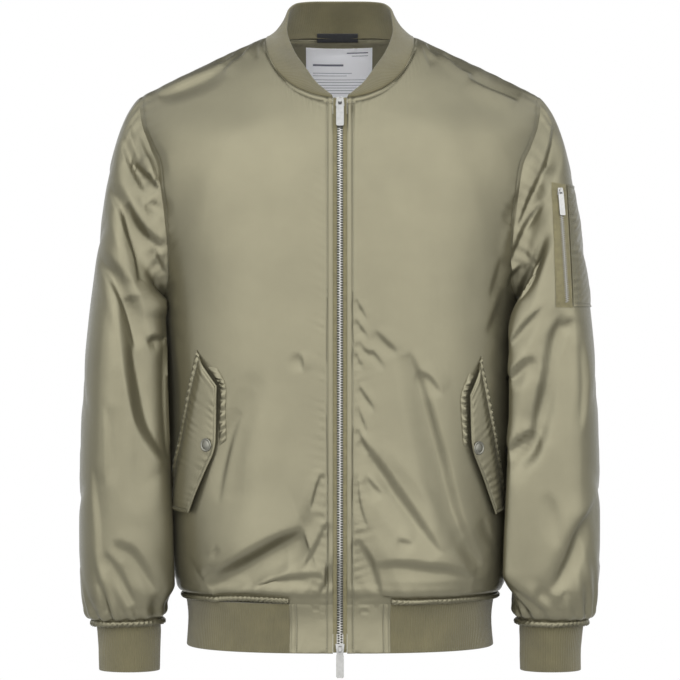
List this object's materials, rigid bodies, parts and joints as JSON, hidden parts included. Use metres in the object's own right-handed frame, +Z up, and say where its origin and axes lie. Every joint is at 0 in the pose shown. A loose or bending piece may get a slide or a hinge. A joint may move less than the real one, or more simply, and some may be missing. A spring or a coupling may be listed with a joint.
{
  "type": "bomber jacket",
  "caption": "Zipped bomber jacket with ribbed collar, cuffs and hem, filled out and hollow, slanted pockets with snapped flaps and a zipped pocket on one sleeve.",
  "frame": {"origin": "middle of the neck, level with the tops of the two shoulder seams", "axes": "+Z up, the front faces -Y, the wearer's left is +X"},
  "size_m": [0.5938, 0.263, 0.7721],
  "materials": {
    "shell": "satin nylon",
    "lining": "plain lining",
    "rib": "matt rib knit",
    "tape": "woven zip tape",
    "metal": "polished nickel",
    "label": "woven label",
    "loop": "woven loop"
  },
  "bodies": {
    "garment": {"front_left": "shell", "front_right": "shell", "back": "shell", "sleeve_left": "shell", "sleeve_right": "shell", "under_sleeve_left": "shell", "under_sleeve_right": "shell", "hem_tab_left": "shell", "hem_tab_right": "shell", "pocket_flap_left": "shell", "pocket_flap_right": "shell", "pocket_welt_left": "shell", "pocket_welt_right": "shell", "sleeve_pocket": "shell", "back_lining": "lining", "cuff_left": "rib", "cuff_right": "rib", "collar": "rib", "hem_rib": "rib", "neck_label": "label", "hanger_loop": "loop", "zip_tape_left": "tape", "zip_tape_right": "tape", "sleeve_zip_tape": "tape", "zip_chain": "metal", "sleeve_zip_chain": "metal", "top_slider": "metal", "bottom_slider": "metal", "sleeve_slider": "metal", "snap_left": "metal", "snap_right": "metal"},
    "top_pull": {"top_pull": "metal"},
    "bottom_pull": {"bottom_pull": "metal"},
    "sleeve_pull": {"sleeve_pull": "metal"}
  },
  "joints": [
    {"name": "top_pull_swing", "type": "hinge", "parent": "garment", "child": "top_pull", "pos_m": [0, -0.09537, -0.08138], "axis": [-1, 0, 0], "range_deg": [0, 160]},
    {"name": "bottom_pull_swing", "type": "hinge", "parent": "garment", "child": "bottom_pull", "pos_m": [0, -0.12376, -0.69237], "axis": [-1, 0, 0], "range_deg": [0, 160]},
    {"name": "sleeve_pull_swing", "type": "hinge", "parent": "garment", "child": "sleeve_pull", "pos_m": [0.24901, -0.06751, -0.181], "axis": [-0.9879, -0.152, -0.0315], "range_deg": [0, 150]}
  ]
}
